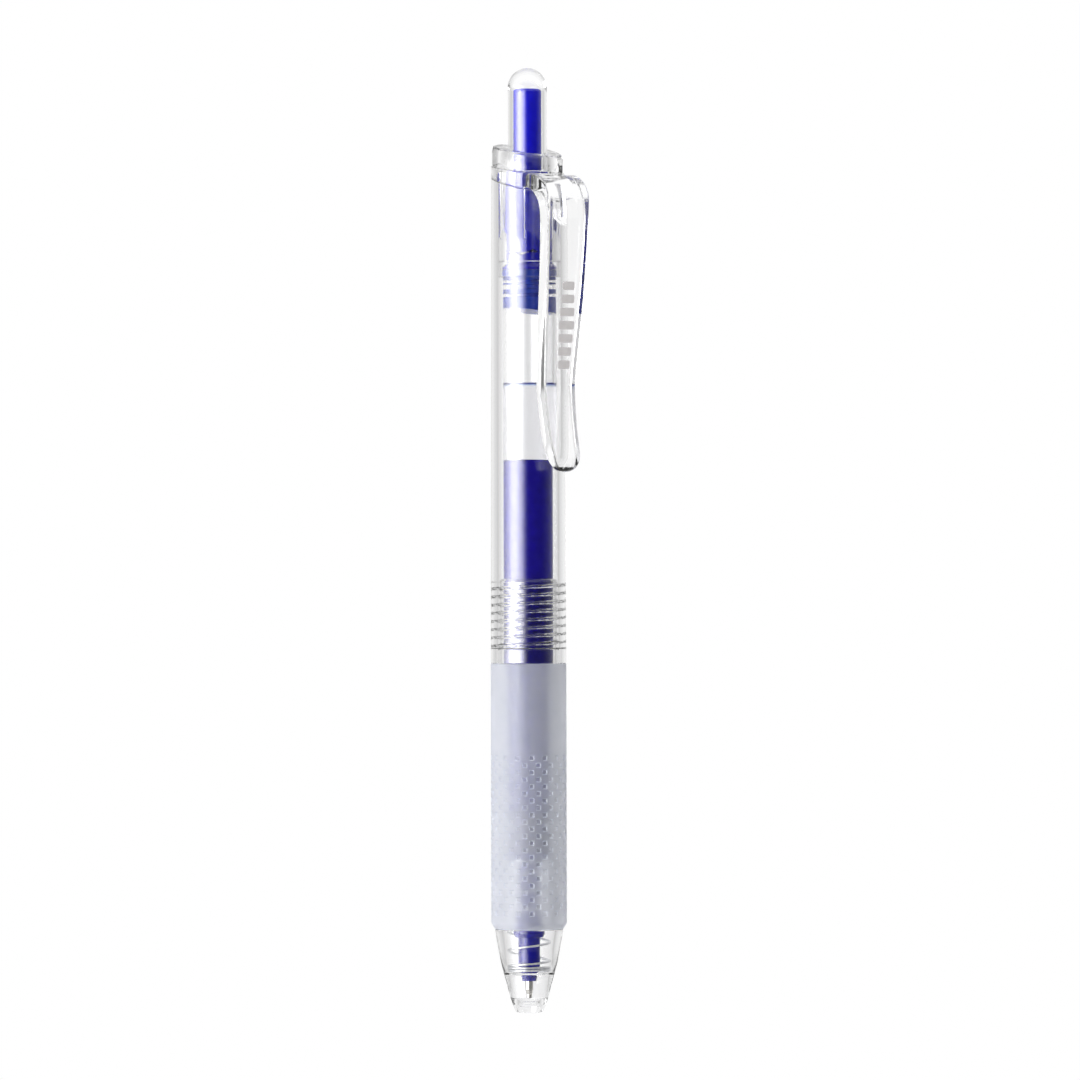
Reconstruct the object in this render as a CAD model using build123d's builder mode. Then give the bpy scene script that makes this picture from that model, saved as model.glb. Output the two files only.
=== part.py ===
from build123d import *

import os
from math import radians, tan

# A retractable gel pen, taken apart into its separate pieces.
# The pen's axis is Z with the writing end down, and the clip is on the -Y side.
# The origin is the centre of the nose's end face. Sizes are in millimetres.

# ---------------------------------------------------------------- driving dimensions
PEN_LENGTH = 145.0

# outer shell
BARREL_RADIUS = 5.8
BARREL_TOP_RADIUS = 5.57
BARREL_BORE = 4.55
BARREL_BOTTOM = 53.6
GRIP_BOTTOM = 12.8
GRIP_STEP_RADIUS = 5.25
GRIP_BORE = 4.80
SLEEVE_RADIUS = 4.75
FRONT_BORE = 4.05
EXIT_RADIUS = 1.8

# screw thread between the two barrels
THREAD_PITCH = 1.25
THREAD_ROOT = 4.43
THREAD_CREST = 4.83
THREAD_FEMALE_ROOT = 4.95
THREAD_START = 57.0
THREAD_LENGTH = 8.6
SPIGOT_TOP = 66.55
REGISTER_RADIUS = 4.97
REGISTER_TOP = 55.8

# cap, guide and clip ring
CAP_NECK_RADIUS = 4.9
CAP_COLLAR_RADIUS = 5.44
COLLAR_HEIGHT = 132.4
COLLAR_TILT = 12.8
RING_TOP_HEIGHT = 129.43
RING_TOP_TILT = 9.8
RING_BOTTOM_HEIGHT = 127.33
RING_BOTTOM_TILT = 16.4
RING_RADIUS = 5.6
RING_BORE = 4.93
GUIDE_RADIUS = 4.5
GUIDE_BOTTOM = 112.8
GUIDE_BORE = 3.42
GUIDE_COUNTERBORE = 4.05
LIP_HEIGHT = 129.0
LIP_BORE = 3.1

# the six-fold knock mechanism
CAM_COUNT = 6
CAM_TURN = -23
RIB_BORE = 3.07
RIB_WIDTH = 1.2
RIB_SLOPE = 0.42
RIB_TIP_HEIGHT = 118.4
SPLINE_RADIUS = 3.27
SPLINE_ROOT = 2.85
PLUNGER_BOTTOM = 116.58
PLUNGER_SHOULDER = 128.9
ROTOR_TOP = 116.5
ROTOR_BOTTOM = 113.98
CROWN_HEIGHT = 0.5

# push button
BUTTON_RADIUS = 3.0
BUTTON_BORE = 2.4
BUTTON_WALL_TOP = 1.35
CORE_RADIUS = 2.16
CORE_TOP = 141.8

# refill
TUBE_RADIUS = 3.81
TUBE_BORE = 3.26
TUBE_BOTTOM = 24.6
HOLDER_SHOULDER = 23.8
TUBE_TOP = 112.9
PLUG_FLANGE_RADIUS = 3.9
PLUG_BOTTOM = 107.6
PLUG_BOTTOM_SLOPE = 0.15
INK_TOP = 84.8
FOLLOWER_TOP = 96.6
HOLDER_NECK_RADIUS = 1.85
HOLDER_GUIDE_RADIUS = 2.39
HOLDER_BODY_RADIUS = 1.67
TIP_RADIUS = 0.605
TIP_BORE = 0.37
BALL_RADIUS = 0.35
BALL_HEIGHT = 2.35

# return spring
SPRING_RADIUS = 3.2
WIRE_RADIUS = 0.185
SPRING_SEAT = 6.2
SPRING_TOP = 23.75
SPRING_PITCH = 2.73

# clip
HINGE_REACH = 6.25
HINGE_GAP = 0.06
CLIP_ROOT_WIDTH = 7.8


def sloped_plane(height, tilt):
    """A plane that crosses the pen's axis at a height and falls towards the clip by a tilt in degrees."""
    return Plane(origin=(0, 0, height), z_dir=(0, -tan(radians(tilt)), 1))


def thread_ridge(inner, outer, half_inner, half_outer, start, height):
    """A right-hand helical ridge of trapezoid section, for adding to a spigot or cutting from a bore."""
    with BuildPart() as ridge:
        with BuildLine():
            Helix(THREAD_PITCH, height, (inner + outer) / 2, center=(0, 0, start))
        with BuildSketch(Plane.XZ):
            with BuildLine():
                Polyline(
                    (inner, start - half_inner),
                    (outer, start - half_outer),
                    (outer, start + half_outer),
                    (inner, start + half_inner),
                    close=True,
                )
            make_face()
        sweep(is_frenet=True)
    return ridge.part


# ---------------------------------------------------------------- front barrel
# The clear nose, the thin sleeve under the grip and the threaded spigot are one moulding.
NOSE_TOP = GRIP_BOTTOM - 0.05
NOSE_OUTSIDE = [
    (2.18, 0.2),
    (2.9, 2.2),
    (3.97, 6.1),
    (4.8, 10.1),
    (GRIP_STEP_RADIUS, NOSE_TOP),
]

with BuildPart() as front_barrel:
    with BuildSketch(Plane.XZ):
        with BuildLine():
            Polyline((EXIT_RADIUS, 0), (2.02, 0), NOSE_OUTSIDE[0])
            Spline(*NOSE_OUTSIDE)
            Polyline(
                NOSE_OUTSIDE[-1],
                (SLEEVE_RADIUS, NOSE_TOP),
                (SLEEVE_RADIUS, REGISTER_TOP),
                (THREAD_ROOT, REGISTER_TOP + 0.3),
                (THREAD_ROOT, SPIGOT_TOP - 0.25),
                (THREAD_ROOT - 0.2, SPIGOT_TOP),
                (FRONT_BORE, SPIGOT_TOP),
                (FRONT_BORE, GRIP_BOTTOM),
                (3.6, 9.9),
                (3.5, 7.7),
                (3.5, SPRING_SEAT),
                (3.02, SPRING_SEAT - 0.3),
                (2.65, 2.3),
                (EXIT_RADIUS, 1.3),
                (EXIT_RADIUS, 0),
            )
        make_face()
    revolve(axis=Axis.Z)
    add(thread_ridge(THREAD_ROOT - 0.1, THREAD_CREST, 0.35, 0.1, THREAD_START, THREAD_LENGTH))
front_barrel.part.label = "front_barrel"

# ---------------------------------------------------------------- grip
with BuildPart() as grip:
    with BuildSketch(Plane.XZ):
        with BuildLine():
            Polyline(
                (GRIP_BORE, GRIP_BOTTOM),
                (GRIP_STEP_RADIUS, GRIP_BOTTOM),
                (BARREL_RADIUS, GRIP_BOTTOM + 0.9),
                (BARREL_RADIUS, BARREL_BOTTOM - 0.05),
                (GRIP_BORE, BARREL_BOTTOM - 0.05),
                close=True,
            )
        make_face()
    revolve(axis=Axis.Z)
grip.part.label = "grip"

# ---------------------------------------------------------------- rear barrel
# A tapered tube, bored through, with the female thread and a plain register at its lower end.
# Its top is cut on the slope of the clip ring's lower edge.
BLANK_TOP = 131.0
GROOVE_START = THREAD_START - 2 * THREAD_PITCH
GROOVE_LENGTH = 12.0
POCKET_COUNT = 4
POCKET_HEIGHT = 54.85
POCKET_FIRST_ANGLE = 58
POCKET_LENGTH = 2.1
POCKET_WIDTH = 0.8
POCKET_DEPTH = 0.35

with BuildPart() as rear_barrel:
    with BuildSketch(Plane.XZ):
        with BuildLine():
            Polyline(
                (REGISTER_RADIUS, BARREL_BOTTOM),
                (BARREL_RADIUS, BARREL_BOTTOM),
                (BARREL_TOP_RADIUS, BLANK_TOP),
                (BARREL_BORE, BLANK_TOP),
                (BARREL_BORE, REGISTER_TOP + 0.4),
                (REGISTER_RADIUS, REGISTER_TOP),
                close=True,
            )
        make_face()
    revolve(axis=Axis.Z)
    split(bisect_by=sloped_plane(RING_BOTTOM_HEIGHT, RING_BOTTOM_TILT), keep=Keep.BOTTOM)
    add(
        thread_ridge(BARREL_BORE - 0.1, THREAD_FEMALE_ROOT, 0.44, 0.19, GROOVE_START, GROOVE_LENGTH),
        mode=Mode.SUBTRACT,
    )
    # shallow oval pockets round the register
    for place in PolarLocations(REGISTER_RADIUS - 0.1, POCKET_COUNT, start_angle=POCKET_FIRST_ANGLE):
        spoke = place.position
        centre = spoke + Vector(0, 0, POCKET_HEIGHT)
        with BuildSketch(Plane(origin=centre, x_dir=(-spoke.Y, spoke.X, 0), z_dir=spoke)):
            SlotOverall(POCKET_LENGTH, POCKET_WIDTH)
        extrude(amount=POCKET_DEPTH, mode=Mode.SUBTRACT)
rear_barrel.part.label = "rear_barrel"

# ---------------------------------------------------------------- top cap
# Collar above the clip ring, neck through the ring and guide sleeve down inside the barrel.
NOTCH_WIDTH = 1.4
NOTCH_ANGLE = 36

with BuildPart() as cap_neck:
    with BuildSketch(Plane.XY.offset(RING_BOTTOM_HEIGHT - 3)):
        Circle(CAP_NECK_RADIUS)
    extrude(amount=7)
    split(bisect_by=sloped_plane(RING_BOTTOM_HEIGHT, RING_BOTTOM_TILT), keep=Keep.TOP)

with BuildPart() as guide_rib:
    with Locations((RIB_BORE, 0, RIB_TIP_HEIGHT)):
        Box(
            GUIDE_BORE - RIB_BORE + 0.1,
            RIB_WIDTH,
            LIP_HEIGHT - RIB_TIP_HEIGHT,
            align=(Align.MIN, Align.CENTER, Align.MIN),
        )
    rib_end = Plane(origin=(0, RIB_WIDTH / 2, RIB_TIP_HEIGHT), z_dir=(0, RIB_SLOPE, 1))
    split(bisect_by=rib_end, keep=Keep.TOP)

with BuildPart() as top_cap:
    with BuildSketch(Plane.XY.offset(RING_TOP_HEIGHT - 3)):
        Circle(CAP_COLLAR_RADIUS)
    extrude(amount=9)
    split(bisect_by=sloped_plane(RING_TOP_HEIGHT, RING_TOP_TILT), keep=Keep.TOP)
    split(bisect_by=sloped_plane(COLLAR_HEIGHT, COLLAR_TILT), keep=Keep.BOTTOM)
    fillet(edges().sort_by(Axis.Z)[-1], radius=0.55)
    add(cap_neck.part)
    with BuildSketch(Plane.XY.offset(GUIDE_BOTTOM)):
        Circle(GUIDE_RADIUS)
    extrude(amount=LIP_HEIGHT - GUIDE_BOTTOM)
    # bores: rotor counterbore, guide bore and the lip that the button passes
    with BuildSketch(Plane.XY.offset(GUIDE_BOTTOM)):
        Circle(GUIDE_COUNTERBORE)
    extrude(amount=2.4, mode=Mode.SUBTRACT)
    with BuildSketch(Plane.XY.offset(GUIDE_BOTTOM)):
        Circle(GUIDE_BORE)
    extrude(amount=LIP_HEIGHT - GUIDE_BOTTOM, mode=Mode.SUBTRACT)
    with BuildSketch(Plane.XY.offset(LIP_HEIGHT)):
        Circle(LIP_BORE)
    extrude(amount=8, mode=Mode.SUBTRACT)
    with PolarLocations(0, CAM_COUNT, start_angle=CAM_TURN):
        add(guide_rib.part)
    # latch notches in the collar's lower edge, one each side of the clip
    with Locations((0, 0, RING_TOP_HEIGHT - 0.28)):
        with PolarLocations(
            CAP_COLLAR_RADIUS,
            2,
            start_angle=-90 - NOTCH_ANGLE,
            angular_range=2 * NOTCH_ANGLE,
            endpoint=True,
        ):
            Box(0.8, NOTCH_WIDTH, 1.5, mode=Mode.SUBTRACT)
top_cap.part.label = "top_cap"

# ---------------------------------------------------------------- clip ring
# The ring sits between the barrel's sloped top and the collar. The arm's root stands out from it.
ROOT_UNDERSIDE = 124.9
ROOT_TOP = 128.55

with BuildPart() as barrel_space:
    with BuildSketch(Plane.XY.offset(RING_BOTTOM_HEIGHT - 8)):
        Circle(RING_RADIUS + 0.04)
    extrude(amount=12)
    split(bisect_by=sloped_plane(RING_BOTTOM_HEIGHT, RING_BOTTOM_TILT), keep=Keep.BOTTOM)

with BuildPart() as clip_ring:
    with BuildSketch(Plane.XY.offset(RING_BOTTOM_HEIGHT - 2.5)):
        Circle(RING_RADIUS)
    extrude(amount=6)
    with BuildSketch(Plane.YZ):
        with BuildLine():
            Polyline(
                (-HINGE_REACH, ROOT_UNDERSIDE),
                (-HINGE_REACH, ROOT_TOP),
                (-RING_RADIUS + 0.6, RING_TOP_HEIGHT),
                (-RING_RADIUS + 2.5, RING_TOP_HEIGHT),
                (-RING_RADIUS + 2.5, ROOT_UNDERSIDE),
                close=True,
            )
        make_face()
    extrude(amount=CLIP_ROOT_WIDTH / 2, both=True)
    split(bisect_by=sloped_plane(RING_TOP_HEIGHT, RING_TOP_TILT), keep=Keep.BOTTOM)
    with BuildSketch(Plane.XY.offset(RING_BOTTOM_HEIGHT - 4)):
        Circle(RING_BORE)
    extrude(amount=8, mode=Mode.SUBTRACT)
    add(barrel_space.part, mode=Mode.SUBTRACT)
clip_ring.part.label = "clip_ring"

# ---------------------------------------------------------------- clip arm
# Side profile of the arm as (reach from the axis, height), and its half width against height.
ARM_START = HINGE_REACH + HINGE_GAP
ARM_ELBOW = [
    (ARM_START, ROOT_TOP),
    (7.9, 128.1),
    (9.3, 127.3),
    (10.2, 126.3),
    (10.7, 125.2),
    (10.85, 123.9),
]
ARM_OUTSIDE = [
    ARM_ELBOW[-1],
    (10.3, 115.5),
    (9.0, 101.7),
    (8.46, 96.8),
    (9.2, 89.4),
    (10.35, 85.2),
]
ARM_INSIDE = [
    (8.3, 84.0),
    (7.05, 89.4),
    (6.05, 96.0),
    (6.5, 101.7),
    (8.1, 115.5),
    (8.5, 123.4),
]
ARM_HALF_WIDTH = [
    (3.9, 129.0),
    (3.9, 124.7),
    (3.5, 109.4),
    (2.95, 96.8),
    (2.62, 86.0),
]
ARM_END = 82.85
GUSSET_HALF_WIDTH = 0.55
GUSSET = [
    (-6.4, 126.4),
    (-6.4, 121.9),
    (-7.6, 121.2),
    (-8.6, 120.4),
    (-9.2, 120.2),
    (-9.2, 126.4),
]

with BuildPart() as clip_arm:
    outside = [(-reach, height) for reach, height in ARM_OUTSIDE]
    inside = [(-reach, height) for reach, height in ARM_INSIDE]
    other_side = [(-half, height) for half, height in ARM_HALF_WIDTH]
    with BuildSketch(Plane.YZ):
        with BuildLine():
            Spline(*[(-reach, height) for reach, height in ARM_ELBOW])
            Spline(*outside)
            ThreePointArc(outside[-1], (-9.5, 82.9), inside[0])
            Spline(*inside)
            TangentArc(inside[-1], (-7.4, ROOT_UNDERSIDE), tangent=(0, 1))
            Polyline((-7.4, ROOT_UNDERSIDE), (-ARM_START, ROOT_UNDERSIDE), (-ARM_START, ROOT_TOP))
        make_face()
    extrude(amount=CLIP_ROOT_WIDTH / 2 + 1, both=True)
    with BuildSketch(Plane.XZ):
        with BuildLine():
            Spline(*ARM_HALF_WIDTH)
            ThreePointArc(ARM_HALF_WIDTH[-1], (0, ARM_END), other_side[-1])
            Spline(*other_side)
            Line(other_side[0], ARM_HALF_WIDTH[0])
        make_face()
    extrude(amount=15, both=True, mode=Mode.INTERSECT)
    # a thin rib in the bend
    with BuildSketch(Plane.YZ):
        with BuildLine():
            Polyline(*GUSSET, close=True)
        make_face()
    extrude(amount=GUSSET_HALF_WIDTH, both=True)
clip_arm.part.label = "clip_arm"

# ---------------------------------------------------------------- push button
# A clear sleeve with a round dome, standing on the plunger's shoulder.
DOME_START = PEN_LENGTH - BUTTON_RADIUS
INNER_DOME_TOP = PEN_LENGTH - BUTTON_WALL_TOP
INNER_DOME_START = INNER_DOME_TOP - BUTTON_BORE

with BuildPart() as push_button:
    with BuildSketch(Plane.XZ):
        with BuildLine():
            Line((BUTTON_RADIUS, PLUNGER_SHOULDER), (BUTTON_RADIUS, DOME_START))
            RadiusArc((BUTTON_RADIUS, DOME_START), (0, PEN_LENGTH), -BUTTON_RADIUS)
            Line((0, PEN_LENGTH), (0, INNER_DOME_TOP))
            RadiusArc((0, INNER_DOME_TOP), (BUTTON_BORE, INNER_DOME_START), BUTTON_BORE)
            Polyline(
                (BUTTON_BORE, INNER_DOME_START),
                (BUTTON_BORE, PLUNGER_SHOULDER),
                (BUTTON_RADIUS, PLUNGER_SHOULDER),
            )
        make_face()
    revolve(axis=Axis.Z)
push_button.part.label = "push_button"

# ---------------------------------------------------------------- plunger
# The core inside the button and the splined knock part below it, with a crown of V notches.
with BuildPart() as crown_notch:
    with BuildSketch(Plane.YZ):
        with BuildLine():
            Polyline((-0.8, 0), (0.8, 0), (0, CROWN_HEIGHT), close=True)
        make_face()
    extrude(amount=5)

with BuildPart() as plunger:
    with BuildSketch(Plane.XY.offset(PLUNGER_BOTTOM)):
        Circle(SPLINE_RADIUS)
    extrude(amount=PLUNGER_SHOULDER - PLUNGER_BOTTOM)
    with BuildSketch(Plane.XY.offset(PLUNGER_SHOULDER)):
        Circle(CORE_RADIUS)
    extrude(amount=CORE_TOP - PLUNGER_SHOULDER)
    fillet(edges().sort_by(Axis.Z)[-1], radius=0.4)
    # slots that run on the guide ribs
    with Locations((0, 0, PLUNGER_BOTTOM)):
        with PolarLocations(SPLINE_ROOT, CAM_COUNT, start_angle=CAM_TURN):
            Box(
                1,
                RIB_WIDTH + 0.4,
                PLUNGER_SHOULDER - PLUNGER_BOTTOM,
                align=(Align.MIN, Align.CENTER, Align.MIN),
                mode=Mode.SUBTRACT,
            )
    with Locations((0, 0, PLUNGER_BOTTOM)):
        with PolarLocations(0, CAM_COUNT, start_angle=180 / CAM_COUNT + CAM_TURN):
            add(crown_notch.part, mode=Mode.SUBTRACT)
plunger.part.label = "plunger"

# ---------------------------------------------------------------- cam rotor
with BuildPart() as cam_rotor:
    with BuildSketch(Plane.XZ):
        with BuildLine():
            Polyline(
                (0, ROTOR_BOTTOM),
                (PLUG_FLANGE_RADIUS, ROTOR_BOTTOM),
                (PLUG_FLANGE_RADIUS, ROTOR_BOTTOM + 0.35),
                (SPLINE_RADIUS, ROTOR_BOTTOM + 0.95),
                (SPLINE_RADIUS, ROTOR_TOP),
                (0, ROTOR_TOP),
                close=True,
            )
        make_face()
    revolve(axis=Axis.Z)
    with Locations(Location((0, 0, ROTOR_TOP), (180, 0, 0))):
        with PolarLocations(0, CAM_COUNT, start_angle=-CAM_TURN):
            add(crown_notch.part, mode=Mode.SUBTRACT)
cam_rotor.part.label = "cam_rotor"

# ---------------------------------------------------------------- refill tube
with BuildPart() as refill_tube:
    with BuildSketch(Plane.XY.offset(TUBE_BOTTOM)):
        Circle(TUBE_RADIUS)
        Circle(TUBE_BORE, mode=Mode.SUBTRACT)
    extrude(amount=TUBE_TOP - TUBE_BOTTOM)
refill_tube.part.label = "refill_tube"

# ---------------------------------------------------------------- tail plug
# Flange over the tube's end and a shank with grooves between its bands, cut off at an angle.
GROOVE_RADIUS = 2.75
PLUG_GROOVES = [
    (109.8, 110.25),
    (110.95, 111.65),
    (111.95, 112.3),
]
groove_outline = [
    point
    for low, high in PLUG_GROOVES
    for point in ((TUBE_BORE, low), (GROOVE_RADIUS, low), (GROOVE_RADIUS, high), (TUBE_BORE, high))
]

with BuildPart() as tail_plug:
    with BuildSketch(Plane.XZ):
        with BuildLine():
            Polyline(
                (0, PLUG_BOTTOM - 2),
                (TUBE_BORE, PLUG_BOTTOM - 2),
                *groove_outline,
                (TUBE_BORE, TUBE_TOP),
                (PLUG_FLANGE_RADIUS, TUBE_TOP),
                (PLUG_FLANGE_RADIUS, ROTOR_BOTTOM - 0.06),
                (0, ROTOR_BOTTOM - 0.06),
                close=True,
            )
        make_face()
    revolve(axis=Axis.Z)
    split(bisect_by=Plane(origin=(0, 0, PLUG_BOTTOM), z_dir=(PLUG_BOTTOM_SLOPE, 0, 1)), keep=Keep.TOP)
tail_plug.part.label = "tail_plug"

# ---------------------------------------------------------------- tip holder
HOLDER_TOP = 30.5
HOLDER_END = 5.07
HOLDER_BORE = 0.8
TIP_SEAT = 12.0
GUIDE_FLANGE_BOTTOM = 12.2
GUIDE_FLANGE_TOP = 14.9

with BuildPart() as tip_holder:
    with BuildSketch(Plane.XZ):
        with BuildLine():
            Polyline(
                (HOLDER_BORE, HOLDER_TOP),
                (TUBE_BORE, HOLDER_TOP),
                (TUBE_BORE, TUBE_BOTTOM),
                (TUBE_RADIUS, TUBE_BOTTOM),
                (TUBE_RADIUS, HOLDER_SHOULDER),
                (2.6, HOLDER_SHOULDER),
                (HOLDER_NECK_RADIUS, HOLDER_SHOULDER - 1.2),
                (HOLDER_NECK_RADIUS, GUIDE_FLANGE_TOP),
                (HOLDER_GUIDE_RADIUS, GUIDE_FLANGE_TOP),
                (HOLDER_GUIDE_RADIUS, GUIDE_FLANGE_BOTTOM),
                (2.1, GUIDE_FLANGE_BOTTOM - 0.5),
                (HOLDER_BODY_RADIUS, GUIDE_FLANGE_BOTTOM - 0.5),
                (HOLDER_BODY_RADIUS, 7.07),
                (1.25, 6.0),
                (1.07, HOLDER_END),
                (TIP_RADIUS, HOLDER_END),
                (TIP_RADIUS, TIP_SEAT),
                (HOLDER_BORE, TIP_SEAT),
                close=True,
            )
        make_face()
    revolve(axis=Axis.Z)
tip_holder.part.label = "tip_holder"

# ---------------------------------------------------------------- metal tip
# A drawn tube with a coned end that holds the ball.
SOCKET_RADIUS = BALL_RADIUS + 0.012

with BuildPart() as metal_tip:
    with BuildSketch(Plane.XZ):
        with BuildLine():
            Polyline(
                (BALL_RADIUS - 0.015, BALL_HEIGHT - 0.15),
                (0.39, BALL_HEIGHT - 0.15),
                (0.41, 3.0),
                (TIP_RADIUS, 3.76),
                (TIP_RADIUS, TIP_SEAT),
                (TIP_BORE, TIP_SEAT),
                (TIP_BORE, 3.6),
                (0.15, 3.4),
                (0.15, BALL_HEIGHT + 0.36),
                (SOCKET_RADIUS, BALL_HEIGHT + 0.15),
                (SOCKET_RADIUS, BALL_HEIGHT),
                close=True,
            )
        make_face()
    revolve(axis=Axis.Z)
metal_tip.part.label = "metal_tip"

# ---------------------------------------------------------------- writing ball
with BuildPart() as writing_ball:
    with Locations((0, 0, BALL_HEIGHT)):
        Sphere(BALL_RADIUS)
writing_ball.part.label = "writing_ball"

# ---------------------------------------------------------------- ink and grease follower
with BuildPart() as ink:
    with BuildSketch(Plane.XZ):
        with BuildLine():
            Polyline(
                (0, TIP_SEAT),
                (HOLDER_BORE, TIP_SEAT),
                (HOLDER_BORE, HOLDER_TOP),
                (TUBE_BORE, HOLDER_TOP),
                (TUBE_BORE, INK_TOP),
                (0, INK_TOP),
                close=True,
            )
        make_face()
    revolve(axis=Axis.Z)
ink.part.label = "ink"

with BuildPart() as grease_follower:
    with BuildSketch(Plane.XY.offset(INK_TOP)):
        Circle(TUBE_BORE)
    extrude(amount=FOLLOWER_TOP - INK_TOP)
grease_follower.part.label = "grease_follower"

# ---------------------------------------------------------------- return spring
with BuildPart() as return_spring:
    with BuildLine() as spring_line:
        Helix(
            SPRING_PITCH,
            SPRING_TOP - SPRING_SEAT - 2 * WIRE_RADIUS,
            SPRING_RADIUS,
            center=(0, 0, SPRING_SEAT + WIRE_RADIUS),
        )
    with BuildSketch(Plane(origin=spring_line.line @ 0, z_dir=spring_line.line % 0)):
        Circle(WIRE_RADIUS)
    sweep(is_frenet=True)
return_spring.part.label = "return_spring"

# ---------------------------------------------------------------- files
PIECES = [
    front_barrel,
    grip,
    rear_barrel,
    top_cap,
    clip_ring,
    clip_arm,
    push_button,
    plunger,
    cam_rotor,
    refill_tube,
    tail_plug,
    tip_holder,
    metal_tip,
    writing_ball,
    ink,
    grease_follower,
    return_spring,
]
os.makedirs("parts", exist_ok=True)
for piece in PIECES:
    export_step(piece.part, f"parts/{piece.part.label}.step")
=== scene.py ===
import math

import bmesh
import bpy
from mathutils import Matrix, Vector


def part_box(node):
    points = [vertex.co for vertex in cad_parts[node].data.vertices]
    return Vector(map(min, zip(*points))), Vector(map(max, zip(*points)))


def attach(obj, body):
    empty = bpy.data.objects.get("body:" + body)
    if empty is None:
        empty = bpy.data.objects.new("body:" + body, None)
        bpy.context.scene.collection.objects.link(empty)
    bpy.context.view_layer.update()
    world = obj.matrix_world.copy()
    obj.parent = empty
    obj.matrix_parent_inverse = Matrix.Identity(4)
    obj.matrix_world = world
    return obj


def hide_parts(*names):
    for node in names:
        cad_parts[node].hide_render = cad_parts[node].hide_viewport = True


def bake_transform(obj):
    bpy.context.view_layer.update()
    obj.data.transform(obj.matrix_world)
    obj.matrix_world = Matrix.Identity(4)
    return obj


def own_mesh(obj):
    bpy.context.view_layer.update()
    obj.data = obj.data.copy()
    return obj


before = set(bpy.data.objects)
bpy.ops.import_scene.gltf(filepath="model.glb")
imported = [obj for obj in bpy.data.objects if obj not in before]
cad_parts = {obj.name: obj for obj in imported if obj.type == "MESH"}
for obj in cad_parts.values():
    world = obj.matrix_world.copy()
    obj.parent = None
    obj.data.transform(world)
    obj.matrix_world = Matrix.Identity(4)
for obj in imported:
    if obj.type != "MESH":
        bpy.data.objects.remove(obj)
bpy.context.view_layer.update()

# The outlines below are in millimetres, as (radius, height) from the pen's axis and its nose face. A
# third value is a slope: the point's height changes by slope times its y, so a cut can be oblique.
MM = 0.001
BARREL_TILT = 0.294
RING_TILT = 0.173
COLLAR_TILT = 0.227


def height(node, end):
    """Lowest (end 0) or highest (end 1) height of a CAD node, in millimetres."""
    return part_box(node)[end][2] / MM


GRIP_LOW = height("grip", 0)
GRIP_HIGH = height("grip", 1)
BARREL_LOW = height("rear_barrel", 0)
TUBE_LOW = height("refill_tube", 0)
TUBE_HIGH = height("refill_tube", 1)
INK_HIGH = height("ink", 1)
FOLLOWER_HIGH = height("grease_follower", 1)
BUTTON_LOW = height("push_button", 0)
PEN_HIGH = height("push_button", 1)
SPRING_LOW = height("return_spring", 0)
SPRING_HIGH = height("return_spring", 1)


# ------------------------------------------------------------------ mesh tools
def piece(name, verts, faces, material, sharp=35.0):
    """A mesh object from millimetre vertices, smooth shaded with its real corners kept sharp."""
    mesh = bpy.data.meshes.new(name)
    mesh.from_pydata([(x * MM, y * MM, z * MM) for x, y, z in verts], [], faces)
    work = bmesh.new()
    work.from_mesh(mesh)
    bmesh.ops.remove_doubles(work, verts=work.verts, dist=1e-7)
    bmesh.ops.recalc_face_normals(work, faces=work.faces)
    work.to_mesh(mesh)
    work.free()
    obj = bpy.data.objects.new(name, mesh)
    bpy.context.collection.objects.link(obj)
    finish_mesh(obj, material, sharp)
    return obj


def loft(rows, around, joined=False):
    """Faces between rows of points round an outline; the end rows are capped, or joined to each other."""
    faces = []
    for i in range(rows if joined else rows - 1):
        here = i * around
        beyond = (i + 1) % rows * around
        for k in range(around):
            n = (k + 1) % around
            faces.append((here + k, here + n, beyond + n, beyond + k))
    if not joined:
        faces.append(tuple(range(around)))
        faces.append(tuple(range((rows - 1) * around, rows * around)))
    return faces


def arc_angles(first, last, steps):
    """Evenly spaced angles in radians, from degrees."""
    return [math.radians(first + (last - first) * k / steps) for k in range(steps + 1)]


def finish_mesh(obj, material, sharp=35.0):
    """Smooth shading with corners over the given angle kept sharp, and one material."""
    obj.data.polygons.foreach_set("use_smooth", [True] * len(obj.data.polygons))
    obj.data.set_sharp_from_angle(angle=math.radians(sharp))
    obj.data.materials.clear()
    obj.data.materials.append(material)


# A corner flatter than FLAT_CORNER degrees isn't rounded. A rounded corner takes up at most LONGEST_CUT
# of the wall on each side, and LONGEST_GUARD with its guard ring.
FLAT_CORNER = 165.0
LONGEST_CUT = 0.42
LONGEST_GUARD = 0.47


def with_slopes(outline):
    """The outline's points as (radius, height, slope), with a slope of 0 where none is given."""
    return [tuple(p) + (0.0,) * (3 - len(p)) for p in outline]


def softened(outline, radius, steps=3):
    """The outline with each corner off the axis rounded by a short curve."""
    points = with_slopes(outline)
    count = len(points)
    result = []
    for i, corner in enumerate(points):
        here = Vector(corner)
        to_before = Vector(points[i - 1]) - here
        to_after = Vector(points[(i + 1) % count]) - here
        reach_before = to_before.to_2d().length
        reach_after = to_after.to_2d().length
        if corner[0] < 1e-6 or min(reach_before, reach_after) < 1e-6:
            result.append(corner)
            continue
        if math.degrees(to_before.to_2d().angle(to_after.to_2d())) > FLAT_CORNER:
            result.append(corner)
            continue
        cut_before = min(radius / reach_before, LONGEST_CUT)
        cut_after = min(radius / reach_after, LONGEST_CUT)
        start = here + to_before * cut_before
        end = here + to_after * cut_after
        # A guard ring just beyond each end of the curve keeps the straight walls flat in the shading.
        result.append(tuple(here + to_before * min(1.4 * cut_before, LONGEST_GUARD)))
        for k in range(steps + 1):
            t = k / steps
            result.append(tuple(start * (1 - t) ** 2 + here * 2 * t * (1 - t) + end * t * t))
        result.append(tuple(here + to_after * min(1.4 * cut_after, LONGEST_GUARD)))
    return result


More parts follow.
